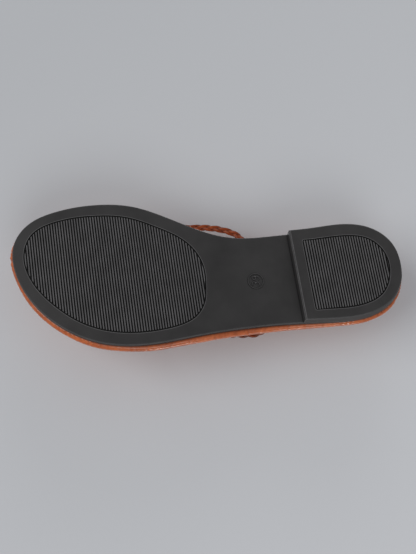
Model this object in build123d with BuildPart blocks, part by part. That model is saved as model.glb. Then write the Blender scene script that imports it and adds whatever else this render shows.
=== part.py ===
"""A flat leather thong sandal for the right foot, standing on its sole.

Frame: millimetres, +Z up, the toe towards -Y and the heel towards +Y, the inner (medial)
side of the foot towards +X. The ground is Z = 0: the forefoot and the heel block stand on it.

The sole is made in layers. Every layer has the same side view, a ruled surface whose straight
lines run parallel to the tread ribs, raised by that layer's height. Its outline is cut straight
down. SIDE is the plane of that side view: its x axis runs along the foot, square to the ribs.
"""
import os
from math import cos, radians, sin, sqrt

from build123d import *

os.makedirs("parts", exist_ok=True)

# ---------------------------------------------------------------- driving dimensions, mm
RIB_ANGLE = 9.4           # how far the ribs are turned from straight across the foot
REACH = 135.0             # half length of the side view, past both ends of the sole
HALF_WIDTH = 90.0         # half width of everything cut across the sole

TOE_BREAK = -70.8         # where the toe spring starts, along the foot
TOE_RADIUS = 243.0        # radius of the toe spring
WAIST_START = -25.8       # where the waist starts to rise
WAIST_END = 49.2          # where the waist reaches the height of the heel seat
HEEL_RISE = 7.5           # height of the heel seat's underside

OUTSOLE = 3.5             # thickness of the rubber outsole
LEATHER = 1.2             # thickness of the cover leather, and of the filler under the board
BOARD = 1.8               # thickness of the insole board
FOAM = 2.0                # thickness of the footbed foam
LAST_MARGIN = 11.0        # width of the leather turned in under the board

UNDER_BOARD = OUTSOLE + LEATHER
UNDER_FOAM = UNDER_BOARD + BOARD
UNDER_COVER = UNDER_FOAM + FOAM
FOOTBED_TOP = UNDER_COVER + LEATHER

OUTSOLE_EDGE = 0.7        # rounding of the outsole's lower edge
ROLL_TOP = 2.6            # rounding of the rolled leather edge, above
ROLL_UNDER = 2.7          # and below

RIB_PITCH = 1.66          # tread ribs
RIB_GAP = 1.16            # width of the gap between two ribs at its mouth
RIB_GAP_FLOOR = 0.36      # and at its floor
RIB_DEPTH = 0.8
RIB_CUT_BELOW = 0.3       # how far the gaps' cutting profile starts below the ribs
PANEL_LINE = 0.7          # width of the groove round each ribbed panel
FOREFOOT_RIBS = (-115.4, -2.4)
HEEL_RIBS = (60.1, 115.2)

BREAST = 55.6             # front face of the heel block, along the foot
BREAST_BEVEL = 0.8
HEEL_SET_BACK = 1.6       # how far the back of the heel block leans out above the ground

BADGE = (-0.3, 30.0)      # centre of the size mark under the waist
BADGE_DIAMETER = 10.4
BADGE_LINE = 0.5
BADGE_RELIEF = 0.35
DIGIT_RADIUS = 1.15

STRAP_DIAMETER = 4.7
STRAP_GAP = 0.3           # between the two strap ends inside the keeper
HOLE_CLEARANCE = 0.25     # round a strap or the post where it goes through the footbed
SLOT_BEND = 4.0           # bend of a strap just above its hole
TOE_HOLE = (14.4, -77.0)
MEDIAL_HOLE = (20.0, 28.5)
LATERAL_HOLE = (-21.0, 38.0)

POST_WIDTH = 4.6          # toe post, across the foot
POST_THICKNESS = 3.4
POST_CORNER = 1.3
POST_BEND = 9.0
POST_KNEE = 19.5          # height where the post starts to lean towards the heel
KEEPER_WALL = 1.1
KEEPER_LENGTH = 9.5
KEEPER_TOP = Vector(14.4, -67.0, 31.5)
KEEPER_AXIS = Vector(0, -0.64, -0.768)
INSIDE_KEEPER = 5.0       # how far the strap ends reach into the keeper
ABOVE_KEEPER = 7.0        # where the two straps come side by side above it

TAB_CLEARANCE = 0.3
TABS = {                  # flat anchors under the board: centre, size, turn
    "toe_post_tab": ((14.4, -75.0), (12.0, 16.0), 0.0),
    "medial_strap_tab": ((15.0, 29.5), (17.0, 10.0), -12.0),
    "lateral_strap_tab": ((-16.2, 38.7), (17.0, 10.0), -8.0),
}

# ---------------------------------------------------------------- outlines, seen from above
OUTSOLE_OUTLINE = [
    (13.7, -124.5), (29.0, -118.0), (40.0, -98.0), (45.4, -72.0), (45.0, -50.0),
    (39.9, -32.0), (33.1, -13.0), (28.6, 6.0), (28.7, 24.0), (31.5, 43.0), (35.1, 67.0),
    (38.8, 91.0), (36.5, 106.5), (26.3, 120.1), (6.2, 125.3), (-11.1, 118.4), (-21.1, 102.7),
    (-25.3, 79.0), (-28.0, 47.0), (-33.1, 17.0), (-39.9, -12.0), (-45.3, -39.0),
    (-44.7, -67.2), (-36.8, -88.5), (-22.9, -106.8), (-5.0, -119.7),
]
FOOTBED_OUTLINE = [
    (13.5, -126.4), (29.9, -119.1), (41.6, -98.6), (47.0, -72.0), (46.6, -50.0),
    (41.6, -32.0), (35.1, -13.0), (30.6, 6.0), (30.3, 24.0), (32.9, 43.0), (36.3, 67.0),
    (40.0, 91.0), (37.5, 107.3), (27.0, 121.5), (6.2, 127.2), (-12.2, 120.1), (-22.7, 103.4),
    (-27.0, 79.0), (-30.9, 47.0), (-36.3, 17.0), (-43.1, -12.0), (-48.1, -39.0),
    (-46.8, -68.2), (-38.3, -89.8), (-23.9, -108.3), (-5.5, -121.0),
]
FOREFOOT_PANEL = [
    (11.2, -117.2), (23.7, -113.6), (32.7, -99.0), (37.8, -73.0), (37.4, -53.0),
    (31.8, -34.5), (21.2, -13.5), (7.7, -4.0), (-11.8, -1.9), (-25.3, -6.8), (-35.1, -26.0),
    (-38.4, -51.0), (-34.8, -74.0), (-23.3, -94.5), (-4.3, -112.3),
]
HEEL_PANEL = [
    (26.6, 59.4), (31.0, 92.0), (28.8, 104.0), (20.2, 113.2), (6.7, 116.2), (-7.4, 111.2),
    (-15.0, 99.5), (-18.4, 83.0), (-20.1, 67.2),
]
ROUND_CORNER = 1.5        # front corners of the heel panel

# ---------------------------------------------------------------- strap routes, heel end first
MEDIAL_ROUTE = [
    (*MEDIAL_HOLE, 8.0), (*MEDIAL_HOLE, 18.4), (36.6, 22.2, 24.0), (41.9, 9.0, 26.9),
    (44.0, -6.0, 30.7), (43.8, -20.0, 34.8), (39.4, -34.0, 39.0), (31.2, -47.0, 41.3),
    (22.4, -57.0, 39.8),
]
LATERAL_ROUTE = [
    (*LATERAL_HOLE, 8.0), (*LATERAL_HOLE, 19.2), (-30.8, 37.0, 21.6), (-31.6, 25.0, 24.6),
    (-30.0, 5.5, 29.8), (-28.0, -12.5, 35.6), (-22.6, -25.0, 39.3), (-14.4, -37.0, 41.8),
    (-4.5, -48.0, 42.3), (5.2, -57.0, 40.2),
]

SIDE = Plane(
    origin=(0, 0, 0),
    x_dir=(sin(radians(RIB_ANGLE)), cos(radians(RIB_ANGLE)), 0),
    z_dir=(cos(radians(RIB_ANGLE)), -sin(radians(RIB_ANGLE)), 0),
)


def underside(along):
    """Height of the outsole's underside at a distance along the foot."""
    if along < TOE_BREAK:
        return TOE_RADIUS - sqrt(TOE_RADIUS**2 - (TOE_BREAK - along) ** 2)
    half = (WAIST_END - WAIST_START) / 2
    radius = (half**2 + (HEEL_RISE / 2) ** 2) / HEEL_RISE
    if along < WAIST_START:
        return 0.0
    if along < WAIST_START + half:
        return radius - sqrt(radius**2 - (along - WAIST_START) ** 2)
    if along < WAIST_END:
        return HEEL_RISE - radius + sqrt(radius**2 - (WAIST_END - along) ** 2)
    return HEEL_RISE


def course(height):
    """Draw the side view's long line, raised by a height, from toe to heel."""
    middle = (WAIST_START + WAIST_END) / 2
    TangentArc((TOE_BREAK, height), (-REACH, underside(-REACH) + height), tangent=(-1, 0))
    Line((TOE_BREAK, height), (WAIST_START, height))
    TangentArc((WAIST_START, height), (middle, HEEL_RISE / 2 + height), tangent=(1, 0))
    TangentArc((WAIST_END, HEEL_RISE + height), (middle, HEEL_RISE / 2 + height), tangent=(-1, 0))
    Line((WAIST_END, HEEL_RISE + height), (REACH, HEEL_RISE + height))


def layer(low, high):
    """The full-width slab between two heights of the side view, as a Part."""
    with BuildPart() as slab:
        with BuildSketch(SIDE):
            with BuildLine():
                course(low)
                course(high)
                for end in (-REACH, REACH):
                    Line((end, underside(end) + low), (end, underside(end) + high))
            make_face()
        extrude(amount=HALF_WIDTH, both=True)
    return slab.part


def drawn_in(points, inset):
    """A closed run of outline points, each moved inward, square to its two neighbours."""
    moved = []
    for index, (x, y) in enumerate(points):
        before = points[index - 1]
        after = points[(index + 1) % len(points)]
        along = Vector(after[0] - before[0], after[1] - before[1]).normalized()
        moved.append((x - inset * along.Y, y + inset * along.X))
    return moved


def plan(points, inset=0.0):
    """A closed smooth outline seen from above, drawn inward by an inset, as a Sketch.

    It is two splines, from the foremost point to the rearmost and back again, and both
    run straight across the foot where they meet.
    """
    points = drawn_in(points, inset)
    back = points.index(max(points, key=lambda point: point[1]))
    inward, outward = (-1, 0), (1, 0)
    with BuildSketch() as shape:
        with BuildLine():
            Spline(*points[: back + 1], tangents=[outward, inward], tangent_scalars=[1, 1])
            Spline(*points[back:], points[0], tangents=[inward, outward], tangent_scalars=[1, 1])
        make_face()
    return shape.sketch


def heel_panel(inset=0.0):
    """The D-shaped tread panel of the heel, drawn inward by an inset, as a Sketch."""
    outline = drawn_in(HEEL_PANEL, inset)
    with BuildSketch() as shape:
        with BuildLine():
            Spline(*outline)
            Line(outline[-1], outline[0])
        make_face()
        fillet(shape.vertices(), radius=ROUND_CORNER - inset / 2)
    return shape.sketch


def prism(face, low, high):
    """A plan outline cut down through one layer of the sole, as a Part."""
    with BuildPart() as block:
        with BuildSketch():
            add(face)
        extrude(amount=REACH, both=True)
        add(layer(low, high), mode=Mode.INTERSECT)
    return block.part


def rib_gaps(first, last, level):
    """The gaps between tread ribs, right across the sole, as a Part."""
    mouth = RIB_GAP / 2
    floor = RIB_GAP_FLOOR / 2
    with BuildPart() as gaps:
        with BuildSketch(SIDE):
            for index in range(int((last - first) / RIB_PITCH) + 1):
                along = first + index * RIB_PITCH
                base = level(along)
                with BuildLine():
                    Polyline(
                        (along - mouth, base - RIB_CUT_BELOW),
                        (along - floor, base + RIB_DEPTH),
                        (along + floor, base + RIB_DEPTH),
                        (along + mouth, base - RIB_CUT_BELOW),
                        close=True,
                    )
                make_face()
        extrude(amount=HALF_WIDTH, both=True)
    return gaps.part


def tread(face, span, level):
    """What is cut away inside a tread panel to leave its ribs, as a Part."""
    with BuildPart() as cut:
        with BuildSketch():
            add(face)
        extrude(amount=2 * HEEL_RISE, both=True)
        add(rib_gaps(*span, level), mode=Mode.INTERSECT)
    return cut.part


def border(face, inner_face):
    """The thin ring between a panel's outline and the same outline drawn in, as a Sketch."""
    with BuildSketch() as ring:
        add(face)
        add(inner_face, mode=Mode.SUBTRACT)
    return ring.sketch


def strap_end(side, depth):
    """A point on a strap's centre line in the keeper, on one side, below the keeper's top."""
    across = side * (STRAP_DIAMETER + STRAP_GAP) / 2
    return KEEPER_TOP + KEEPER_AXIS * depth + Vector(across, 0, 0)


def bend_radii(points):
    """The largest smooth bend at each corner of a route, the first one limited by its hole."""
    radii = []
    for before, corner, after in zip(points, points[1:], points[2:]):
        run_in = Vector(corner) - Vector(before)
        run_out = Vector(after) - Vector(corner)
        half_turn = radians(run_in.get_angle(run_out)) / 2
        shorter = min(run_in.length, run_out.length)
        radii.append(0.45 * shorter / (sin(half_turn) / cos(half_turn)))
    radii[0] = SLOT_BEND
    return radii


def badge():
    """The size mark under the waist: a ring round the number 39, read with the toe up."""
    bowl = DIGIT_RADIUS
    three, nine = -1.6 * bowl, 1.6 * bowl
    strokes = [
        CenterArc((three, bowl), bowl, -90, 240, mode=Mode.PRIVATE),
        CenterArc((three, -bowl), bowl, -150, 240, mode=Mode.PRIVATE),
        CenterArc((nine, -bowl), bowl, -150, 150, mode=Mode.PRIVATE),
    ]
    with BuildSketch(Plane(origin=(*BADGE, 0), x_dir=(1, 0, 0), z_dir=(0, 0, -1))) as mark:
        Circle(BADGE_DIAMETER / 2)
        Circle(BADGE_DIAMETER / 2 - BADGE_LINE, mode=Mode.SUBTRACT)
        with Locations((nine, bowl)):
            Circle(bowl + BADGE_LINE / 2)
            Circle(bowl - BADGE_LINE / 2, mode=Mode.SUBTRACT)
        with Locations((nine + bowl, 0)):
            Rectangle(BADGE_LINE, 2 * bowl)
        for stroke in strokes:
            SlotArc(stroke, BADGE_LINE)
    return mark.sketch


def tab_face(name, clearance=0.0):
    """The outline of a strap's flat anchor, seen from above, as a Sketch."""
    centre, size, turn = TABS[name]
    with BuildSketch(Plane(origin=(*centre, 0), x_dir=(cos(radians(turn)), sin(radians(turn)), 0),
                           z_dir=(0, 0, 1))) as shape:
        RectangleRounded(size[0] + 2 * clearance, size[1] + 2 * clearance, 2.0 + clearance)
    return shape.sketch


def holes():
    """The three holes through the footbed, seen from above, as a Sketch."""
    with BuildSketch() as shape:
        with Locations(MEDIAL_HOLE, LATERAL_HOLE):
            Circle(STRAP_DIAMETER / 2 + HOLE_CLEARANCE)
        with Locations(TOE_HOLE):
            RectangleRounded(POST_WIDTH + 2 * HOLE_CLEARANCE, POST_THICKNESS + 2 * HOLE_CLEARANCE,
                             POST_CORNER)
    return shape.sketch


def strap(route, side):
    """One strap as a plain round cord from its anchor to its end in the keeper, as a Part."""
    points = [Vector(*point) for point in route]
    points += [strap_end(side, -ABOVE_KEEPER), strap_end(side, INSIDE_KEEPER)]
    radii = bend_radii(points)
    print("strap bends", [round(radius, 1) for radius in radii])
    with BuildPart() as cord:
        with BuildLine() as path:
            FilletPolyline(*points, radius=radii)
        with BuildSketch(Plane(origin=points[0], z_dir=(0, 0, 1))):
            Circle(STRAP_DIAMETER / 2)
        sweep(path=path.line)
        add(layer(-REACH, UNDER_BOARD), mode=Mode.SUBTRACT)
    return cord.part


# ---------------------------------------------------------------- outsole
forefoot_panel = plan(FOREFOOT_PANEL)
forefoot_tread = tread(forefoot_panel, FOREFOOT_RIBS, underside)
forefoot_border = border(forefoot_panel, plan(FOREFOOT_PANEL, PANEL_LINE))
forefoot_line = prism(forefoot_border, -1, RIB_DEPTH)
size_mark = prism(badge(), -BADGE_RELIEF, 0.2)

with BuildPart() as outsole:
    add(prism(plan(OUTSOLE_OUTLINE), 0, OUTSOLE))
    lower = outsole.faces().filter_by(lambda face: face.normal_at().Z < -0.9).edges()
    rim = lower.filter_by(GeomType.BSPLINE).filter_by(lambda edge: edge.center().Y < WAIST_END)
    fillet(rim, radius=OUTSOLE_EDGE)
    add(forefoot_tread, mode=Mode.SUBTRACT)
    add(forefoot_line, mode=Mode.SUBTRACT)
    add(size_mark)
outsole.part.label = "outsole"
export_step(outsole.part, "parts/outsole.step")

# ---------------------------------------------------------------- heel block
heel_tread = tread(heel_panel(), HEEL_RIBS, lambda along: 0.0)
with BuildPart() as heel_line:
    with BuildSketch():
        add(border(heel_panel(), heel_panel(PANEL_LINE)))
    extrude(amount=RIB_DEPTH)

with BuildPart() as heel_block:
    lean = Vector(0, HEEL_SET_BACK, HEEL_RISE)
    with BuildSketch():
        add(plan(OUTSOLE_OUTLINE).moved(Location((0, -HEEL_SET_BACK, 0))))
    extrude(amount=lean.length, dir=lean)
    breast = Plane(origin=SIDE.x_dir * BREAST, z_dir=SIDE.x_dir)
    split(bisect_by=breast, keep=Keep.TOP)
    ground = heel_block.faces().sort_by(Axis.Z)[0].edges()
    chamfer(ground.filter_by(GeomType.LINE), length=BREAST_BEVEL)
    ground = heel_block.faces().sort_by(Axis.Z)[0].edges()
    fillet(ground.filter_by(GeomType.BSPLINE), radius=OUTSOLE_EDGE)
    add(heel_tread, mode=Mode.SUBTRACT)
    add(heel_line.part, mode=Mode.SUBTRACT)
heel_block.part.label = "heel_block"
export_step(heel_block.part, "parts/heel_block.step")

# ---------------------------------------------------------------- footbed
footbed = plan(FOOTBED_OUTLINE)
under_leather = plan(FOOTBED_OUTLINE, LEATHER)
inside_margin = plan(FOOTBED_OUTLINE, LAST_MARGIN)
footbed_holes = prism(holes(), -REACH, REACH)

with BuildPart() as footbed_cover:
    add(prism(footbed, OUTSOLE, FOOTBED_TOP))
    above = footbed_cover.faces().filter_by(lambda face: face.normal_at().Z > 0.9).edges()
    fillet(above.filter_by(GeomType.BSPLINE), radius=ROLL_TOP)
    below = footbed_cover.faces().filter_by(lambda face: face.normal_at().Z < -0.9).edges()
    fillet(below.filter_by(GeomType.BSPLINE), radius=ROLL_UNDER)
    add(prism(under_leather, UNDER_BOARD, UNDER_COVER), mode=Mode.SUBTRACT)
    add(prism(inside_margin, OUTSOLE - 1, UNDER_BOARD + 0.5), mode=Mode.SUBTRACT)
    for name in TABS:
        add(prism(tab_face(name, TAB_CLEARANCE), OUTSOLE - 1, UNDER_BOARD), mode=Mode.SUBTRACT)
    add(footbed_holes, mode=Mode.SUBTRACT)
footbed_cover.part.label = "footbed_cover"
export_step(footbed_cover.part, "parts/footbed_cover.step")

with BuildPart() as footbed_foam:
    add(prism(under_leather, UNDER_FOAM, UNDER_COVER))
    add(footbed_holes, mode=Mode.SUBTRACT)
footbed_foam.part.label = "footbed_foam"
export_step(footbed_foam.part, "parts/footbed_foam.step")

with BuildPart() as insole_board:
    add(prism(under_leather, UNDER_BOARD, UNDER_FOAM))
    add(footbed_holes, mode=Mode.SUBTRACT)
insole_board.part.label = "insole_board"
export_step(insole_board.part, "parts/insole_board.step")

with BuildPart() as bottom_filler:
    add(prism(inside_margin, OUTSOLE, UNDER_BOARD))
    for name in TABS:
        add(prism(tab_face(name, TAB_CLEARANCE), OUTSOLE - 1, UNDER_BOARD + 1), mode=Mode.SUBTRACT)
bottom_filler.part.label = "bottom_filler"
export_step(bottom_filler.part, "parts/bottom_filler.step")

# ---------------------------------------------------------------- straps, post and keeper
for name in TABS:
    with BuildPart() as tab:
        add(prism(tab_face(name), OUTSOLE, UNDER_BOARD))
    tab.part.label = name
    export_step(tab.part, f"parts/{name}.step")

with BuildPart() as medial_strap:
    add(strap(MEDIAL_ROUTE, 1))
medial_strap.part.label = "medial_strap"
export_step(medial_strap.part, "parts/medial_strap.step")

with BuildPart() as lateral_strap:
    add(strap(LATERAL_ROUTE, -1))
lateral_strap.part.label = "lateral_strap"
export_step(lateral_strap.part, "parts/lateral_strap.step")

with BuildPart() as toe_post:
    with BuildLine() as post_path:
        FilletPolyline(
            (*TOE_HOLE, 0), (*TOE_HOLE, POST_KNEE),
            KEEPER_TOP + KEEPER_AXIS * (INSIDE_KEEPER + STRAP_GAP),
            radius=POST_BEND,
        )
    with BuildSketch(Plane(origin=(*TOE_HOLE, 0), x_dir=(1, 0, 0), z_dir=(0, 0, 1))):
        RectangleRounded(POST_WIDTH, POST_THICKNESS, POST_CORNER)
    sweep(path=post_path.line)
    add(layer(-REACH, UNDER_BOARD), mode=Mode.SUBTRACT)
toe_post.part.label = "toe_post"
export_step(toe_post.part, "parts/toe_post.step")

with BuildPart() as toe_keeper:
    inner = (2 * STRAP_DIAMETER + 3 * STRAP_GAP, STRAP_DIAMETER + STRAP_GAP)
    with BuildSketch(Plane(origin=KEEPER_TOP, x_dir=(1, 0, 0), z_dir=KEEPER_AXIS)):
        SlotOverall(inner[0] + 2 * KEEPER_WALL, inner[1] + 2 * KEEPER_WALL)
        SlotOverall(*inner, mode=Mode.SUBTRACT)
    extrude(amount=KEEPER_LENGTH)
toe_keeper.part.label = "toe_keeper"
export_step(toe_keeper.part, "parts/toe_keeper.step")
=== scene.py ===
"""Looks for a flat leather thong sandal, right foot, standing on its sole.

Metres, +Z up, the toe towards -Y, the inner (medial) side of the foot towards +X. The rubber
sole is the CAD model's own; the leather footbed, the plaited straps, the toe post and its keeper
are modelled here, each in the space of the CAD node that it replaces. The stitching is modelled
here too, with no CAD node to replace.
"""
import math
import random

import bmesh
import bpy
from mathutils import Matrix, Vector, geometry, noise


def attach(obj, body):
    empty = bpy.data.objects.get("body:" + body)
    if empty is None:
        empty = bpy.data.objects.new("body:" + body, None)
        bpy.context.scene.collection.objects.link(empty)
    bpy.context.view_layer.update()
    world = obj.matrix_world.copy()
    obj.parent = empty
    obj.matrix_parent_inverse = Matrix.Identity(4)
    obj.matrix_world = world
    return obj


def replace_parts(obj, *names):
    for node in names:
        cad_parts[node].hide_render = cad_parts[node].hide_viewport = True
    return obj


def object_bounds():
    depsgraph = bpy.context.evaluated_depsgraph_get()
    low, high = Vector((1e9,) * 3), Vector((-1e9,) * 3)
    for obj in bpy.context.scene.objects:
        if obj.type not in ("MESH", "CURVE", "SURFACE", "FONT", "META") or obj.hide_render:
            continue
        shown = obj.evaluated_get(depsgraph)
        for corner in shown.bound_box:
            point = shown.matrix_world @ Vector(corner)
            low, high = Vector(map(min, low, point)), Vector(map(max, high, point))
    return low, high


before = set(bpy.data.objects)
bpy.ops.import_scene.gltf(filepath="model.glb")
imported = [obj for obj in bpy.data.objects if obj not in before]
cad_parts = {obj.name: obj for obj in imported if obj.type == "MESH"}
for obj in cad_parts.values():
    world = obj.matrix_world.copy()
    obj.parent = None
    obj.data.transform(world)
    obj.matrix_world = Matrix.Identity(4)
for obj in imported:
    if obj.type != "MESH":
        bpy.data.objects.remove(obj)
cad_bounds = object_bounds()

MM = 0.001
BODY = "root"
scene = bpy.context.scene

# ---------------------------------------------------------------- the sole's shared geometry, mm
RIB_ANGLE = math.radians(9.4)
TOE_BREAK, TOE_RADIUS = -70.8, 243.0
WAIST_START, WAIST_END, HEEL_RISE = -25.8, 49.2, 7.5
OUTSOLE = 3.5             # thickness of the outsole
ROLL_TOP, ROLL_UNDER = 2.6, 2.7
TURNED_IN = 11.0          # width of the leather turned in under the board
TOE_HOLE = (14.4, -77.0)
MEDIAL_HOLE = (20.0, 28.5)
LATERAL_HOLE = (-21.0, 38.0)
FOOTBED_OUTLINE = [
    (13.5, -126.4), (29.9, -119.1), (41.6, -98.6), (47.0, -72.0), (46.6, -50.0),
    (41.6, -32.0), (35.1, -13.0), (30.6, 6.0), (30.3, 24.0), (32.9, 43.0), (36.3, 67.0),
    (40.0, 91.0), (37.5, 107.3), (27.0, 121.5), (6.2, 127.2), (-12.2, 120.1), (-22.7, 103.4),
    (-27.0, 79.0), (-30.9, 47.0), (-36.3, 17.0), (-43.1, -12.0), (-48.1, -39.0),
    (-46.8, -68.2), (-38.3, -89.8), (-23.9, -108.3), (-5.5, -121.0),
]


def underside(x, y):
    """Height of the outsole's underside above the ground at a place in plan, mm."""
    along = x * math.sin(RIB_ANGLE) + y * math.cos(RIB_ANGLE)
    half = (WAIST_END - WAIST_START) / 2
    radius = (half**2 + (HEEL_RISE / 2) ** 2) / HEEL_RISE
    if along < TOE_BREAK:
        return TOE_RADIUS - math.sqrt(TOE_RADIUS**2 - (TOE_BREAK - along) ** 2)
    if along < WAIST_START:
        return 0.0
    if along < WAIST_START + half:
        return radius - math.sqrt(radius**2 - (along - WAIST_START) ** 2)
    if along < WAIST_END:
        return HEEL_RISE - radius + math.sqrt(radius**2 - (WAIST_END - along) ** 2)
    return HEEL_RISE


# ---------------------------------------------------------------- plane and space curves
def smooth_loop(points, spacing):
    """A closed Catmull-Rom curve through plan points, evenly spaced, as (place, outward) pairs."""
    dense = []
    for index in range(len(points)):
        p0, p1, p2, p3 = (Vector(points[(index + k) % len(points)]) for k in (-1, 0, 1, 2))
        t1, t2 = (p2 - p0), (p3 - p1)
        span = (p2 - p1).length
        t1 *= span / ((p1 - p0).length + span)
        t2 *= span / ((p3 - p2).length + span)
        for step in range(24):
            t = step / 24
            dense.append(
                p1 * (2 * t**3 - 3 * t**2 + 1) + t1 * (t**3 - 2 * t**2 + t)
                + p2 * (3 * t**2 - 2 * t**3) + t2 * (t**3 - t**2)
            )
    even = spread_evenly(dense + dense[:1], spacing)[:-1]
    loop = []
    for index, place in enumerate(even):
        along = (even[(index + 1) % len(even)] - even[index - 1]).normalized()
        loop.append((place, Vector((along.y, -along.x))))
    return loop


def spread_evenly(points, spacing):
    """The same open line with points at an even spacing, ends kept."""
    lengths = [0.0]
    for before, after in zip(points, points[1:]):
        lengths.append(lengths[-1] + (after - before).length)
    count = max(2, round(lengths[-1] / spacing))
    even, index = [], 0
    for step in range(count + 1):
        want = lengths[-1] * step / count
        while index < len(points) - 2 and lengths[index + 1] < want:
            index += 1
        share = (want - lengths[index]) / max(lengths[index + 1] - lengths[index], 1e-9)
        even.append(points[index].lerp(points[index + 1], min(share, 1.0)))
    return even


def spline_route(points, spacing):
    """Evenly spaced points along the NURBS spline that a strap's own points steer."""
    curve = bpy.data.curves.new("route", "CURVE")
    curve.dimensions = "3D"
    curve.resolution_u = 24
    spline = curve.splines.new("NURBS")
    spline.points.add(len(points) - 1)
    for point, place in zip(spline.points, points):
        point.co = (*place, 1)
    spline.order_u = 3
    spline.use_endpoint_u = True
    carrier = bpy.data.objects.new("route", curve)
    line = bpy.data.meshes.new_from_object(carrier)
    places = [vertex.co.copy() for vertex in line.vertices]
    bpy.data.objects.remove(carrier)
    bpy.data.curves.remove(curve)
    bpy.data.meshes.remove(line)
    return spread_evenly(places, spacing)


# ---------------------------------------------------------------- materials
class Nodes:
    """A few short ways to wire a node material."""

    def __init__(self, name):
        self.material = bpy.data.materials.new(name)
        self.material.use_nodes = True
        self.tree = self.material.node_tree
        self.shader = self.tree.nodes["Principled BSDF"]
        self.place = self.add("ShaderNodeTexCoord").outputs["Object"]

    def add(self, kind, **settings):
        node = self.tree.nodes.new(kind)
        for name, value in settings.items():
            setattr(node, name, value)
        return node

    def link(self, output, socket):
        self.tree.links.new(output, socket)

    def noise(self, size, detail=3.0, rough=0.55, stretch=None):
        """Noise with features of about a size in millimetres; stretch squeezes its axes."""
        node = self.add("ShaderNodeTexNoise")
        place = self.place
        if stretch:
            mapping = self.add("ShaderNodeMapping")
            mapping.inputs["Scale"].default_value = stretch
            self.link(place, mapping.inputs["Vector"])
            place = mapping.outputs["Vector"]
        self.link(place, node.inputs["Vector"])
        node.inputs["Scale"].default_value = 1 / (size * MM)
        node.inputs["Detail"].default_value = detail
        node.inputs["Roughness"].default_value = rough
        return node.outputs["Fac"]

    def cells(self, size, feature="DISTANCE_TO_EDGE"):
        """Voronoi cells of a size in millimetres, as used for grain and pores."""
        node = self.add("ShaderNodeTexVoronoi", feature=feature)
        self.link(self.place, node.inputs["Vector"])
        node.inputs["Scale"].default_value = 1 / (size * MM)
        return node.outputs["Distance"]

    def nearness(self, reach, inside):
        """How open the space is within a reach in mm, outside the surface or inside it."""
        node = self.add("ShaderNodeAmbientOcclusion", samples=16, inside=inside)
        node.inputs["Distance"].default_value = reach * MM
        return node.outputs["AO"]

    def ramp(self, value, low, high, stops):
        """A colour ramp between two input values; stops are colours spread evenly."""
        node = self.add("ShaderNodeValToRGB")
        self.link(value, node.inputs["Fac"])
        elements = node.color_ramp.elements
        while len(elements) < len(stops):
            elements.new(0.5)
        for index, colour in enumerate(stops):
            elements[index].position = low + (high - low) * index / (len(stops) - 1)
            elements[index].color = (*colour, 1)
        return node.outputs["Color"]

    def scale(self, value, low, high, new_low, new_high):
        """A value moved from one range to another."""
        node = self.add("ShaderNodeMapRange")
        self.link(value, node.inputs["Value"])
        for name, number in zip(("From Min", "From Max", "To Min", "To Max"),
                                (low, high, new_low, new_high)):
            node.inputs[name].default_value = number
        return node.outputs["Result"]

    def mix(self, share, first, second, blend="MIX"):
        """Two colours mixed; each may be a socket or a colour."""
        node = self.add("ShaderNodeMix", data_type="RGBA", blend_type=blend)
        for value, socket in ((share, node.inputs[0]), (first, node.inputs[6]),
                              (second, node.inputs[7])):
            if isinstance(value, bpy.types.NodeSocket):
                self.link(value, socket)
            else:
                socket.default_value = value if isinstance(value, float) else (*value, 1)
        return node.outputs[2]

    def bump(self, *layers):
        """Stacked bumps, each a (value, height in mm, strength)."""
        normal = None
        for value, height, strength in layers:
            node = self.add("ShaderNodeBump")
            node.inputs["Strength"].default_value = strength
            node.inputs["Distance"].default_value = height * MM
            self.link(value, node.inputs["Height"])
            if normal:
                self.link(normal, node.inputs["Normal"])
            normal = node.outputs["Normal"]
        self.link(normal, self.shader.inputs["Normal"])

    def set(self, **numbers):
        """Numbers set straight on the shader's own sockets."""
        for name, value in numbers.items():
            self.shader.inputs[name.replace("_", " ")].default_value = value
        return self.material


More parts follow.
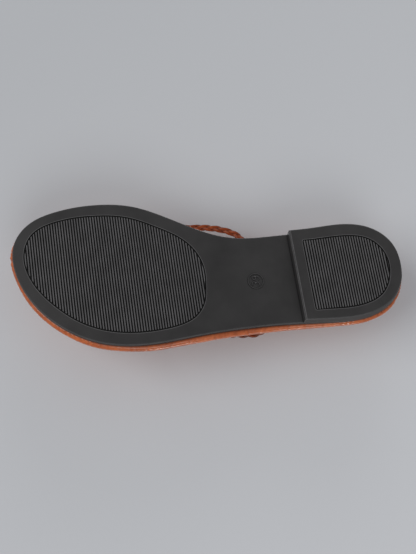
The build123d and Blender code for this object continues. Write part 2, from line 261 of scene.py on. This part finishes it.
def leather(name, deep, middle, light, gloss, grain=0.9, glaze=0.5, shade_reach=1.8):
    """Finished cowhide: mottled dye, rubbed edges with a painted highlight, painted shade in its
    folds, crevices and lace sides, pores and fine grain.
    """
    mat = Nodes(name)
    patches = mat.noise(14, detail=4)
    mottle = mat.noise(2.2, detail=5, rough=0.65)
    colour = mat.ramp(patches, 0.36, 0.64, [deep, middle, light])
    dye = mat.ramp(mottle, 0.35, 0.65, [(0.72, 0.70, 0.68), (1.0, 1.0, 1.0), (1.12, 1.12, 1.10)])
    colour = mat.mix(1.0, colour, dye, "MULTIPLY")
    # Convex edges are painted lighter: rubbed wear and a painted highlight. Hollows are painted
    # darker: painted shade in the folds.
    curve = mat.add("ShaderNodeNewGeometry").outputs["Pointiness"]
    rubbed_and_highlit = mat.scale(curve, 0.505, 0.56, 0.0, 0.35)
    colour = mat.mix(rubbed_and_highlit, colour, tuple(min(1.0, 1.5 * c) for c in light))
    # Painted shade: hollows and folds are darkened.
    hollow_shade = mat.scale(curve, 0.495, 0.43, 0.0, 0.7)
    colour = mat.mix(hollow_shade, colour, tuple(0.45 * c for c in deep))
    # Painted shade: darker where other leather is close by, in crevices and between laces.
    crevice_shade = mat.scale(mat.nearness(shade_reach, inside=False), 0.35, 0.95, 0.92, 0.0)
    colour = mat.mix(crevice_shade, colour, tuple(0.15 * c for c in deep))
    # Painted shade: each lace is darker towards its sides, where it tucks under its neighbours.
    side_shade = mat.add("ShaderNodeAttribute", attribute_name="lace_side_shade").outputs["Fac"]
    colour = mat.mix(mat.scale(side_shade, 0.55, 1.0, 0.0, 0.8), colour, tuple(0.22 * c for c in deep))
    mat.link(colour, mat.shader.inputs["Base Color"])
    mat.link(mat.scale(mottle, 0.3, 0.7, gloss - 0.06, gloss + 0.10),
             mat.shader.inputs["Roughness"])
    mat.bump(
        (mat.cells(grain), 0.05, 0.35),
        (mat.noise(0.35, detail=4), 0.02, 0.5),
        (mottle, 0.20, 0.60),
    )
    return mat.set(Specular_IOR_Level=0.30, Coat_Weight=glaze, Coat_Roughness=0.18)


def rubber(name):
    """Moulded black rubber: matt, rubbed grey with a painted highlight on its ribs and edges,
    painted shade near black down in its grooves.
    """
    mat = Nodes(name)
    cloud = mat.noise(26, detail=4)
    speck = mat.noise(0.9, detail=4, rough=0.7)
    colour = mat.ramp(cloud, 0.35, 0.65, [(0.0265, 0.0258, 0.0262), (0.0345, 0.0337, 0.0340)])
    dust = mat.scale(speck, 0.58, 0.80, 0.0, 0.10)
    colour = mat.mix(dust, colour, (0.12, 0.115, 0.11))
    # Rib crests and thin edges are painted lighter grey: partly rubbed wear, partly a painted
    # highlight.
    thin = mat.nearness(0.45, inside=True)
    crest = mat.ramp(thin, 0.66, 0.99, [(0, 0, 0), (1, 1, 1), (1, 1, 1), (0, 0, 0)])
    patchy = mat.scale(mat.noise(9, detail=3), 0.35, 0.65, 0.0, 1.0)
    rub_and_highlight = mat.mix(patchy, colour, (0.172, 0.169, 0.175))
    colour = mat.mix(crest, colour, mat.mix(0.75, rub_and_highlight, (0.120, 0.118, 0.121)))
    # Painted shade: near black down in the grooves and wherever the rubber is hemmed in.
    shelter = mat.nearness(1.6, inside=False)
    open_air = mat.scale(shelter, 0.45, 0.92, 0.0, 1.0)
    colour = mat.mix(open_air, (0.003, 0.003, 0.003), colour)
    mat.link(colour, mat.shader.inputs["Base Color"])
    mat.link(mat.scale(cloud, 0.3, 0.7, 0.46, 0.56), mat.shader.inputs["Roughness"])
    mat.bump(
        (mat.noise(0.5, detail=5, rough=0.6), 0.03, 0.35),
        (mat.noise(5, detail=3), 0.10, 0.25),
    )
    return mat.set(Specular_IOR_Level=0.16)


def thread(name):
    """Waxed polyester thread: two plies twisted together."""
    mat = Nodes(name)
    twist = mat.noise(0.35, detail=2, stretch=(1.0, 1.0, 0.4))
    mat.link(mat.ramp(twist, 0.35, 0.65, [(0.20, 0.085, 0.035), (0.42, 0.21, 0.10)]),
             mat.shader.inputs["Base Color"])
    mat.link(mat.scale(twist, 0.3, 0.7, 0.45, 0.65), mat.shader.inputs["Roughness"])
    mat.bump((twist, 0.06, 0.6))
    return mat.set(Sheen_Weight=0.15)


def foam(name):
    """Open-cell latex foam, and the filler sheet of the same stuff."""
    mat = Nodes(name)
    pores = mat.cells(0.8)
    mat.link(mat.ramp(pores, 0.02, 0.25, [(0.35, 0.30, 0.22), (0.62, 0.56, 0.45)]),
             mat.shader.inputs["Base Color"])
    mat.link(mat.scale(pores, 0.0, 0.4, 0.95, 0.80), mat.shader.inputs["Roughness"])
    mat.bump((pores, 0.2, 0.6))
    return mat.material


def fibreboard(name):
    """Pressed fibre insole board."""
    mat = Nodes(name)
    fibres = mat.noise(1.5, detail=6, rough=0.7, stretch=(1.0, 0.25, 1.0))
    mat.link(mat.ramp(fibres, 0.35, 0.65, [(0.20, 0.13, 0.08), (0.42, 0.31, 0.20)]),
             mat.shader.inputs["Base Color"])
    mat.link(mat.scale(fibres, 0.3, 0.7, 0.75, 0.92), mat.shader.inputs["Roughness"])
    mat.bump((fibres, 0.08, 0.5))
    return mat.material


def paper(name, colour):
    """A plain one-sided sheet with a painted falloff of light, a little lighter to one side; its
    back lets everything through.
    """
    mat = Nodes(name)
    fleck = mat.noise(0.8, detail=4)
    low = tuple(0.985 * c for c in colour)
    plain = mat.ramp(fleck, 0.3, 0.7, [low, colour])
    # Painted light: the sheet is painted lighter towards one side, as a falloff of light.
    across = mat.add("ShaderNodeVectorMath", operation="DOT_PRODUCT")
    mat.link(mat.place, across.inputs[0])
    across.inputs[1].default_value = (-1.0, 0.8, 0.0)
    painted_falloff = mat.scale(across.outputs["Value"], -0.3, 0.3, 0.0, 1.0)
    tone = mat.ramp(painted_falloff, 0.0, 1.0, [(0.94, 0.945, 0.945), (1.10, 1.10, 1.10)])
    mat.link(mat.mix(1.0, plain, tone, "MULTIPLY"), mat.shader.inputs["Base Color"])
    mat.set(Roughness=0.9, Specular_IOR_Level=0.1)
    clear = mat.add("ShaderNodeBsdfTransparent")
    side = mat.add("ShaderNodeNewGeometry").outputs["Backfacing"]
    both = mat.add("ShaderNodeMixShader")
    mat.link(side, both.inputs[0])
    mat.link(mat.shader.outputs[0], both.inputs[1])
    mat.link(clear.outputs[0], both.inputs[2])
    mat.link(both.outputs[0], mat.tree.nodes["Material Output"].inputs["Surface"])
    return mat.material


BLACK_RUBBER = rubber("black_rubber")
TAN_LEATHER = leather("tan_leather", (0.275, 0.056, 0.011), (0.345, 0.076, 0.016),
                      (0.410, 0.098, 0.024), gloss=0.34, glaze=0.36)
BRAID_LEATHER = leather("braid_leather", (0.150, 0.024, 0.004), (0.260, 0.046, 0.007),
                        (0.360, 0.078, 0.012), gloss=0.42, grain=0.6, glaze=0.08, shade_reach=3.0)
WAXED_THREAD = thread("waxed_thread")
LATEX_FOAM = foam("latex_foam")
INSOLE_BOARD = fibreboard("insole_board_fibre")

for node_name, material in {
    "outsole": BLACK_RUBBER, "heel_block": BLACK_RUBBER,
    "footbed_foam": LATEX_FOAM, "bottom_filler": LATEX_FOAM, "insole_board": INSOLE_BOARD,
    "toe_post_tab": TAN_LEATHER, "medial_strap_tab": BRAID_LEATHER,
    "lateral_strap_tab": BRAID_LEATHER,
}.items():
    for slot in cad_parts[node_name].material_slots:
        slot.material = material


# ---------------------------------------------------------------- camera, light and stage
def add_camera():
    """Below the sole, tipped a little towards the inner side and the toe."""
    low, high = (Vector(corner) for corner in cad_bounds)
    middle = (low + high) / 2
    target = Vector((middle.x + 1.8 * MM, middle.y - 1.0 * MM, low.z + 6 * MM))
    back = Vector((-math.tan(math.radians(17.5)), -math.tan(math.radians(4.2)), -1)).normalized()
    level = (Vector((0, 1, 0)) - back * back.y).normalized()
    rise = back.cross(level)
    roll = math.radians(1.9)
    right = level * math.cos(roll) + rise * math.sin(roll)
    up = rise * math.cos(roll) - level * math.sin(roll)
    data = bpy.data.cameras.new("camera")
    data.lens = 58.7
    data.sensor_width = 36
    data.clip_start = 0.01
    camera = bpy.data.objects.new("camera", data)
    scene.collection.objects.link(camera)
    camera.matrix_world = Matrix.Translation(target + back * 0.575) @ Matrix(
        (right, up, back)
    ).transposed().to_4x4()
    scene.camera = camera


def add_sun(name, place, spread, strength, colour):
    """A distant soft light that shines from a place towards the origin."""
    data = bpy.data.lights.new(name, "SUN")
    data.angle = math.radians(spread)
    data.energy = strength
    data.color = colour
    light = bpy.data.objects.new(name, data)
    scene.collection.objects.link(light)
    light.rotation_euler = Vector(place).to_track_quat("Z", "Y").to_euler()


def add_sheet(name, radius, height, faces_up, colour):
    """A round sheet of paper, seen only from the side that it faces."""
    mesh = bpy.data.meshes.new(name)
    rim = [(radius * math.cos(a), radius * math.sin(a), height)
           for a in (2 * math.pi * k / 96 for k in range(96))]
    mesh.from_pydata(rim, [], [range(96) if faces_up else range(95, -1, -1)])
    mesh.materials.append(paper(name, colour))
    sheet = bpy.data.objects.new(name, mesh)
    scene.collection.objects.link(sheet)
    sheet.visible_shadow = False
    sheet.visible_diffuse = False
    sheet.visible_glossy = False


add_camera()
scene.view_settings.view_transform = "Standard"
world = bpy.data.worlds.new("studio")
world.use_nodes = True
world.node_tree.nodes["Background"].inputs["Color"].default_value = (0.42, 0.425, 0.435, 1)
scene.world = world
add_sheet("backdrop", 1.5, 0.047, False, (0.484, 0.496, 0.520))
add_sheet("floor", 4.0, 0.0, True, (0.52, 0.52, 0.53))
add_sun("key", (-0.06, -0.74, -0.68), 45, 1.45, (1.0, 0.99, 0.975))
add_sun("low_side", (-0.72, 0.10, -0.68), 30, 0.70, (1.0, 0.99, 0.98))
add_sun("far_side", (0.88, 0.05, -0.28), 25, 0.50, (1.0, 0.99, 0.98))
add_sun("window", (-0.92, 0.24, 0.36), 10, 0.75, (1.0, 0.985, 0.965))
add_sun("fill", (0.55, 0.10, 0.80), 60, 1.2, (0.97, 0.985, 1.0))


# ---------------------------------------------------------------- mesh helpers
def make_piece(name, points, faces, material, side_shade=None):
    """A smooth mesh piece from points in mm; the last argument gives each point's share of the
    painted shade at a lace's sides.
    """
    mesh = bpy.data.meshes.new(name)
    mesh.from_pydata([Vector(point) * MM for point in points], [], faces)
    shaping = bmesh.new()
    shaping.from_mesh(mesh)
    bmesh.ops.recalc_face_normals(shaping, faces=shaping.faces)
    shaping.to_mesh(mesh)
    shaping.free()
    mesh.polygons.foreach_set("use_smooth", [True] * len(mesh.polygons))
    mesh.materials.append(material)
    if side_shade:
        shares = mesh.attributes.new("lace_side_shade", "FLOAT", "POINT")
        shares.data.foreach_set("value", side_shade)
    piece = bpy.data.objects.new(name, mesh)
    scene.collection.objects.link(piece)
    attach(piece, BODY)
    return piece


CAP_BULGE = 0.25          # how far a swept end stands out, mm


def frames_along(path, away):
    """A tangent, a width axis and a face normal at each point of an open path."""
    frames = []
    for index, place in enumerate(path):
        ahead = path[min(index + 1, len(path) - 1)] - path[max(index - 1, 0)]
        tangent = ahead.normalized()
        normal = away(place)
        normal = (normal - tangent * normal.dot(tangent)).normalized()
        frames.append((tangent, normal.cross(tangent), normal))
    return frames


def sweep_section(path, away, section, points, faces):
    """Adds a capped tube to points and faces; section gives its rim at each step."""
    start = len(points)
    frames = frames_along(path, away)
    rims = [section(index) for index in range(len(path))]
    size = len(rims[0])
    for place, (_, across, normal), rim in zip(path, frames, rims):
        points.extend(place + across * x + normal * y for x, y in rim)
    for row in range(len(path) - 1):
        for k in range(size):
            low, high = start + row * size, start + (row + 1) * size
            nxt = (k + 1) % size
            faces.append((low + k, low + nxt, high + nxt, high + k))
    for end, row in ((-1, 0), (1, len(path) - 1)):
        base = start + row * size
        points.append(path[row] + frames[row][0] * end * CAP_BULGE)
        hub = len(points) - 1
        faces.extend((base + k, base + (k + 1) % size, hub) for k in range(size))


def rounded(half_width, half_height, power, count):
    """A superellipse rim as (x, y) pairs."""
    rim = []
    for k in range(count):
        angle = 2 * math.pi * (k + 0.5) / count
        c, s = math.cos(angle), math.sin(angle)
        rim.append((
            half_width * math.copysign(abs(c) ** (2 / power), c),
            half_height * math.copysign(abs(s) ** (2 / power), s),
        ))
    return rim


def wave(value, seed, size):
    """Smooth noise along a line, about -1 to 1, with bumps of a size in mm."""
    return noise.noise(Vector((value / size, 7.3 * seed, 0.4)))


# ---------------------------------------------------------------- footbed cover
CHANNEL = 5.0             # distance of the stitched channel from the edge
INNER_RIM = 5.6           # where the edge's rings end and the top is filled
STRAP_ROOM = 2.6          # radius of a strap's hole in the leather
FOAM_TOP = 8.5            # height of the leather's inner face over the foam
TOP_HEIGHT = 9.76         # height of the leather's top where the stitched edge ends
RIM_POINTS = 32           # points round a hole


def edge_profile():
    """(inset, height, looseness) round the leather's edge, top to underside, back up inside."""
    profile = [
        (INNER_RIM, TOP_HEIGHT, 0.0), (5.45, 9.62, 0.0), (5.2, 9.40, 0.0), (CHANNEL, 9.30, 0.0),
        (4.8, 9.40, 0.0), (4.55, 9.62, 0.0), (4.2, 9.78, 0.1), (3.5, 9.84, 0.2), (3.0, 9.78, 0.3),
    ]
    for degrees in range(80, -1, -16):
        a = math.radians(degrees)
        profile.append((ROLL_TOP * (1 - math.cos(a)), 7.1 + ROLL_TOP * math.sin(a), 0.5))
    for degrees in range(0, 91, 15):
        a = math.radians(degrees)
        height = OUTSOLE + ROLL_UNDER * (1 - math.sin(a))
        profile.append((ROLL_UNDER * (1 - math.cos(a)), height, 0.8 + 0.2 * math.sin(a)))
    profile += [(3.4, OUTSOLE, 0.6), (6.0, OUTSOLE, 0.0), (TURNED_IN, OUTSOLE, 0.0)]
    profile += [(TURNED_IN, 4.7, 0.0), (6.0, 4.7, 0.0), (2.0, 4.7, 0.0), (1.25, 5.3, 0.0),
                (1.2, 7.2, 0.0), (1.7, 8.2, 0.0), (3.0, FOAM_TOP, 0.0),
                (INNER_RIM, FOAM_TOP, 0.0)]
    return profile


def tucks(length, bend_of, seed):
    """Places along the edge where the turned leather folds, closer where the edge curves."""
    picker = random.Random(seed)
    found, s = [], 0.0
    while s < length:
        bend = bend_of(s)
        s += picker.uniform(3.0, 7.0) / (1 + 45 * bend)
        width = picker.uniform(0.35, 0.8)
        depth = picker.uniform(0.10, 0.34) * min(1, 0.3 + 28 * bend)
        found.append((s, width, depth, picker.uniform(-0.5, 0.5)))
    return found


def hole_rim(name):
    """A hole's centre, its half sizes in the leather and its superellipse power."""
    return {
        "toe": (Vector(TOE_HOLE), 2.6, 2.0, 3.2),
        "medial": (Vector(MEDIAL_HOLE), STRAP_ROOM, STRAP_ROOM, 2.0),
        "lateral": (Vector(LATERAL_HOLE), STRAP_ROOM, STRAP_ROOM, 2.0),
    }[name]


def top_height(x, y, depth):
    """Height of the leather's top over the underside, depth being its distance from the edge."""
    swell = 0.40 * min(1.0, max(0.0, (depth - INNER_RIM) / 9.0)) ** 0.6
    ripple = 0.10 * noise.noise(Vector((x / 28, y / 34, 1.7)))
    height = TOP_HEIGHT + swell + ripple * min(1.0, max(0.0, (depth - INNER_RIM) / 6.0))
    for name in ("toe", "medial", "lateral"):
        centre = hole_rim(name)[0]
        reach = (Vector((x, y)) - centre).length
        height -= 0.42 * math.exp(-max(0.0, reach - 2.6) / 2.2)
    return height


def fill_skin(ring, holes, inner, points, faces, ring_places):
    """Triangles between a ring and the holes, through inner points, all as vertex numbers."""
    numbers = list(ring) + [n for hole in holes for n in hole] + list(inner)
    flat = [Vector(points[n][:2]) for n in numbers]
    edges, base = [], 0
    for loop in (ring, *holes):
        edges += [(base + k, base + (k + 1) % len(loop)) for k in range(len(loop))]
        base += len(loop)
    result = geometry.delaunay_2d_cdt(flat, edges, [], 0, 1e-5)
    owners = [numbers[origin[0]] for origin in result[3]]
    rims = [set(ring)] + [set(hole) for hole in holes]
    for face in result[2]:
        corners = [owners[k] for k in face]
        on_rims = [k for k, rim in enumerate(rims) if all(c in rim for c in corners)]
        if on_rims:
            centre = sum((Vector(points[c][:2]) for c in corners), Vector((0, 0))) / 3
            if on_rims[0] > 0 or not inside(centre, ring_places):
                continue
        faces.append(tuple(corners))


def inside(place, loop):
    """Whether a plan place is inside a closed loop of plan places."""
    odd = False
    for before, after in zip(loop, loop[1:] + loop[:1]):
        if (before.y > place.y) != (after.y > place.y):
            cross = before.x + (place.y - before.y) * (after.x - before.x) / (after.y - before.y)
            odd ^= cross > place.x
    return odd


def footbed_cover():
    """The leather round the board and foam: stitched, rolled over the edge and turned in."""
    loop = smooth_loop(FOOTBED_OUTLINE, 0.75)
    count = len(loop)
    step = sum((a[0] - b[0]).length for a, b in zip(loop, loop[1:])) / (count - 1)

    def bend_of(s):
        k = int(s / step)
        before, after = loop[(k - 6) % count][1], loop[(k + 6) % count][1]
        return before.angle(after, 0.0) / (12 * step)

    folds = tucks(count * step, bend_of, seed=11)
    toe_notch = min(range(count), key=lambda k: (loop[k][0] - Vector((8.5, -127))).length) * step
    folds.append((toe_notch, 0.9, 0.75, 0.0))
    profile = edge_profile()
    size = len(profile)
    sink = [[0.0] * size for _ in range(count)]
    for place, width, depth, lean in folds:
        middle = int(place / step)
        for k in range(middle - 6, middle + 7):
            for j, (_, height, loose) in enumerate(profile):
                if loose:
                    offset = (k * step - place) - lean * (height - 6)
                    dip = depth * math.exp(-(offset / width) ** 2)
                    bulge = 0.35 * depth * math.exp(-((abs(offset) - 1.9 * width) / width) ** 2)
                    sink[k % count][j] += loose * (dip - bulge)
    points, faces = [], []
    for k, (spot, outward) in enumerate(loop):
        s = k * step
        for j, (inset, height, loose) in enumerate(profile):
            before, after = profile[j - 1], profile[(j + 1) % size]
            run = Vector((after[0] - before[0], after[1] - before[1])).normalized()
            slack = 0.10 * wave(s + 3 * height, 1, 6.0) + 0.05 * wave(s - 2 * height, 2, 2.2)
            push = loose * slack - sink[k][j]
            place = spot - outward * (inset + run.y * push)
            points.append(Vector((*place, underside(*place) + height - run.x * push)))
    for k in range(count):
        for j in range(size - 1):
            low, high = k * size, (k + 1) % count * size
            faces.append((low + j, high + j, high + j + 1, low + j + 1))
    add_skins(loop, size, points, faces)
    cover = make_piece("footbed_leather", points, faces, TAN_LEATHER)
    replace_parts(cover, "footbed_cover")


def add_skins(loop, size, points, faces):
    """The cover's top and its inner face over the foam, joined by the rims of the holes."""
    count = len(loop)
    top_ring = [k * size for k in range(count)]
    inner_ring = [k * size + size - 1 for k in range(count)]
    ring_places = [Vector(points[n][:2]) for n in top_ring]
    coarse = [place for place, _ in loop[::3]]
    rims = [hole_rim(name) for name in ("toe", "medial", "lateral")]
    spots = []
    for depth, stride in ((INNER_RIM + 0.9, 2), (INNER_RIM + 2.3, 3), (INNER_RIM + 4.3, 4)):
        spots += [(place - outward * depth, depth) for place, outward in loop[::stride]]
    row = 0
    y = -126.0
    while y < 126:
        x = -48.0 + (row % 2) * 1.5
        while x < 48:
            place = Vector((x, y))
            depth = min((place - edge).length for edge in coarse)
            if depth > INNER_RIM + 5.8 and inside(place, coarse):
                spots.append((place, depth))
            x += 3.0
        y += 2.6
        row += 1
    spots = [
        (place, depth) for place, depth in spots
        if all((place - centre).length > 5.2 for centre, *_ in rims)
    ]
    top_inner, low_inner, top_holes, low_holes = [], [], [], []
    for place, depth in spots:
        base = underside(*place)
        points.append(Vector((*place, base + top_height(*place, depth))))
        top_inner.append(len(points) - 1)
        points.append(Vector((*place, base + FOAM_TOP)))
        low_inner.append(len(points) - 1)
    for centre, half_x, half_y, power in rims:
        rings = []
        for grow, drop in ((0.42, 0.0), (0.20, 0.10), (0.06, 0.30), (0.0, 0.7), (0.0, None)):
            ring = []
            for x, y in rounded(half_x + grow, half_y + grow, power, RIM_POINTS):
                place = centre + Vector((x, y))
                height = FOAM_TOP if drop is None else top_height(*place, 30.0) - drop
                points.append(Vector((*place, underside(*place) + height)))
                ring.append(len(points) - 1)
            rings.append(ring)
        for above, below in zip(rings, rings[1:]):
            for k in range(RIM_POINTS):
                nxt = (k + 1) % RIM_POINTS
                faces.append((above[k], above[nxt], below[nxt], below[k]))
        top_holes.append(rings[0])
        low_holes.append(rings[-1])
    fill_skin(top_ring, top_holes, top_inner, points, faces, ring_places)
    fill_skin(inner_ring, low_holes, low_inner, points, faces, ring_places)


# ---------------------------------------------------------------- edge stitching
def stitch(path, away, radius, points, faces):
    """One stitch: a thread that comes up out of the leather and goes down again."""
    last = len(path) - 1

    def section(index):
        fat = radius * (0.72 + 0.28 * math.sin(math.pi * index / last))
        return rounded(fat, fat * 0.9, 2.0, 8)

    sweep_section(path, away, section, points, faces)


def footbed_stitching():
    """One row of stitches along the channel round the footbed."""
    loop = smooth_loop(FOOTBED_OUTLINE, 0.25)
    picker = random.Random(5)
    points, faces = [], []
    pitch = 13
    for start in range(0, len(loop) - pitch + 3, pitch):
        path = []
        twist = picker.uniform(-0.12, 0.12)
        for step in range(7):
            place, outward = loop[(start + round(step * 10 / 6)) % len(loop)]
            share = step / 6
            spot = place - outward * (CHANNEL + twist * (share - 0.5))
            lift = 9.15 + 0.42 * math.sin(math.pi * share) ** 0.7
            path.append(Vector((*spot, underside(*spot) + lift)))
        stitch(path, lambda place: Vector((0, 0, 1)), 0.36, points, faces)
    make_piece("footbed_stitching", points, faces, WAXED_THREAD)


# ---------------------------------------------------------------- plaited straps
LACE_CYCLE = 21.6         # length of one full turn of the plait
LACE_STEP = 0.55          # spacing of the sections along a strap
KEEPER_TOP = Vector((14.4, -67.0, 31.5))
KEEPER_AXIS = Vector((0, -0.64, -0.768))
MEDIAL_ROUTE = [
    (36.6, 22.2, 24.0), (41.9, 9.0, 26.9), (44.0, -6.0, 30.7), (43.8, -20.0, 34.8),
    (39.4, -34.0, 39.0), (31.2, -47.0, 41.3), (22.4, -57.0, 39.8),
]
LATERAL_ROUTE = [
    (-30.8, 37.0, 21.6), (-31.6, 25.0, 24.6), (-30.0, 5.5, 29.8), (-28.0, -12.5, 35.6),
    (-22.6, -25.0, 39.3), (-14.4, -37.0, 41.8), (-4.5, -48.0, 42.3), (5.2, -57.0, 40.2),
]


def strap_face(side, knee):
    """Which way a strap's face looks: up over the foot, inwards where it stands in its hole."""
    def face(place):
        standing = min(1.0, max(0.0, (knee + 2.6 - place.z) / 7.5))
        return Vector((0.3 * (place.x - 2) - 60 * side * standing, 0, place.z - 3))

    return face


def plaited_strap(name, hole, knee, route, side):
    """Three laces plaited flat along a strap's route."""
    entry = underside(*hole)
    points = [(*hole, entry + 4.8), (*hole, entry + 8.5), (*hole, knee)]
    points += route
    for depth in (-7.0, 5.0):
        points.append(KEEPER_TOP + KEEPER_AXIS * depth + Vector((side * 2.5, 0, 0)))
    face_of = strap_face(side, knee)
    route_line = spline_route(points, LACE_STEP)
    frames = frames_along(route_line, face_of)
    for number in range(3):
        path = []
        for index, (place, (_, across, normal)) in enumerate(zip(route_line, frames)):
            turn = 2 * math.pi * (LACE_STEP * index / LACE_CYCLE + number / 3)
            loosen = 1 + 0.06 * wave(LACE_STEP * index, number + 10 * side, 9)
            path.append(place + across * 1.06 * loosen * math.sin(turn)
                        + normal * 0.74 * math.sin(2 * turn))

        def section(index):
            swell = 1 + 0.05 * wave(LACE_STEP * index, 3 + number + 10 * side, 5)
            return rounded(1.12 * swell, 0.72, 2.4, 14)

        verts, faces = [], []
        sweep_section(path, face_of, section, verts, faces)
        rim = section(0)
        widest = max(x for x, _ in rim)
        # Painted shade: each lace's share of darkening grows towards its sides and is full at its
        # ends.
        side_shade = [abs(x) / widest for x, _ in rim] * len(path) + [1.0, 1.0]
        piece = make_piece(f"{name}_lace_{number + 1}", verts, faces, BRAID_LEATHER,
                           side_shade)
        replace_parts(piece, name)


# ---------------------------------------------------------------- toe post and keeper
def toe_post():
    """Two strips of leather bonded back to back, rounded at their edges."""
    foot = underside(*TOE_HOLE)
    route = spline_route(
        [(*TOE_HOLE, foot + 4.8), (*TOE_HOLE, 12.0), (*TOE_HOLE, 18.0), (14.4, -76.0, 21.6),
         KEEPER_TOP + KEEPER_AXIS * 5.3], 0.5)

    def section(index):
        rim = []
        for x, y in rounded(2.3, 1.68, 4.0, 40):
            seam = 0.34 * math.exp(-(y / 0.22) ** 2)
            rim.append((x - math.copysign(seam, x) * (abs(x) > 1.5), y))
        return rim

    points, faces = [], []
    sweep_section(route, lambda place: Vector((0, -1, 0.4)), section, points, faces)
    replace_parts(make_piece("toe_post_leather", points, faces, TAN_LEATHER),
                "toe_post")


def toe_keeper():
    """A leather band wrapped round the strap ends and the post, its end lapped and stitched."""
    across = Vector((1, 0, 0))
    front = KEEPER_AXIS.cross(across).normalized()
    if front.z < 0:
        front = -front
    half_flat, inner_round, wall = 2.65, 2.5, 1.1
    length, around = 9.5, 96
    lap_start, lap_span = math.radians(225), math.radians(95)
    wall_loop = []
    for k in range(9):
        wall_loop.append((0.35 + (length - 0.7) * k / 8, wall))
    wall_loop += [(length - 0.1, wall - 0.12), (length, wall - 0.4), (length, 0.4)]
    wall_loop += [(length - 0.25, 0.08), (length - 1.0, 0.0), (1.0, 0.0)]
    wall_loop += [(0.25, 0.08), (0.0, 0.4), (0.0, wall - 0.4), (0.1, wall - 0.12)]
    points, faces = [], []
    for k in range(around):
        angle = 2 * math.pi * k / around
        c, s = math.cos(angle), math.sin(angle)
        outward = across * c + front * s
        shift = across * math.copysign(half_flat, c) * min(1, abs(c) * 6)
        lap = 0.0
        behind = (angle - lap_start) % (2 * math.pi)
        if behind < lap_span:
            lap = 0.55 * min(1.0, behind / math.radians(4)) * (1 - behind / lap_span) ** 0.6
        pinch = 0.35 * math.exp(-(c / 0.22) ** 2) * (s > 0)
        for along, thick in wall_loop:
            waist = 0.18 * math.sin(math.pi * along / length)
            rough = 0.06 * noise.noise(Vector((3 * c, 3 * s, along / 2.5)))
            reach = inner_round + thick + (lap - waist - pinch + rough if thick > 0.3 else 0.0)
            points.append(KEEPER_TOP + KEEPER_AXIS * along + shift + outward * reach)
    size = len(wall_loop)
    for k in range(around):
        for j in range(size):
            low, high, nxt = k * size, (k + 1) % around * size, (j + 1) % size
            faces.append((low + j, high + j, high + nxt, low + nxt))
    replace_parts(make_piece("toe_keeper_band", points, faces, TAN_LEATHER),
                "toe_keeper")
    points, faces = [], []
    for number in range(4):
        middle = 1.6 + 2.1 * number
        path = []
        for step in range(7):
            share = step / 6
            rise = inner_round + wall - 0.62 + 0.42 * math.sin(math.pi * share) ** 0.7
            path.append(KEEPER_TOP + KEEPER_AXIS * (middle - 0.7 + 1.4 * share) + front * rise)
        stitch(path, lambda place: front, 0.33, points, faces)
    make_piece("toe_keeper_stitching", points, faces, WAXED_THREAD)


footbed_cover()
footbed_stitching()
plaited_strap("medial_strap", MEDIAL_HOLE, 18.4, MEDIAL_ROUTE, 1)
plaited_strap("lateral_strap", LATERAL_HOLE, 19.2, LATERAL_ROUTE, -1)
toe_post()
toe_keeper()
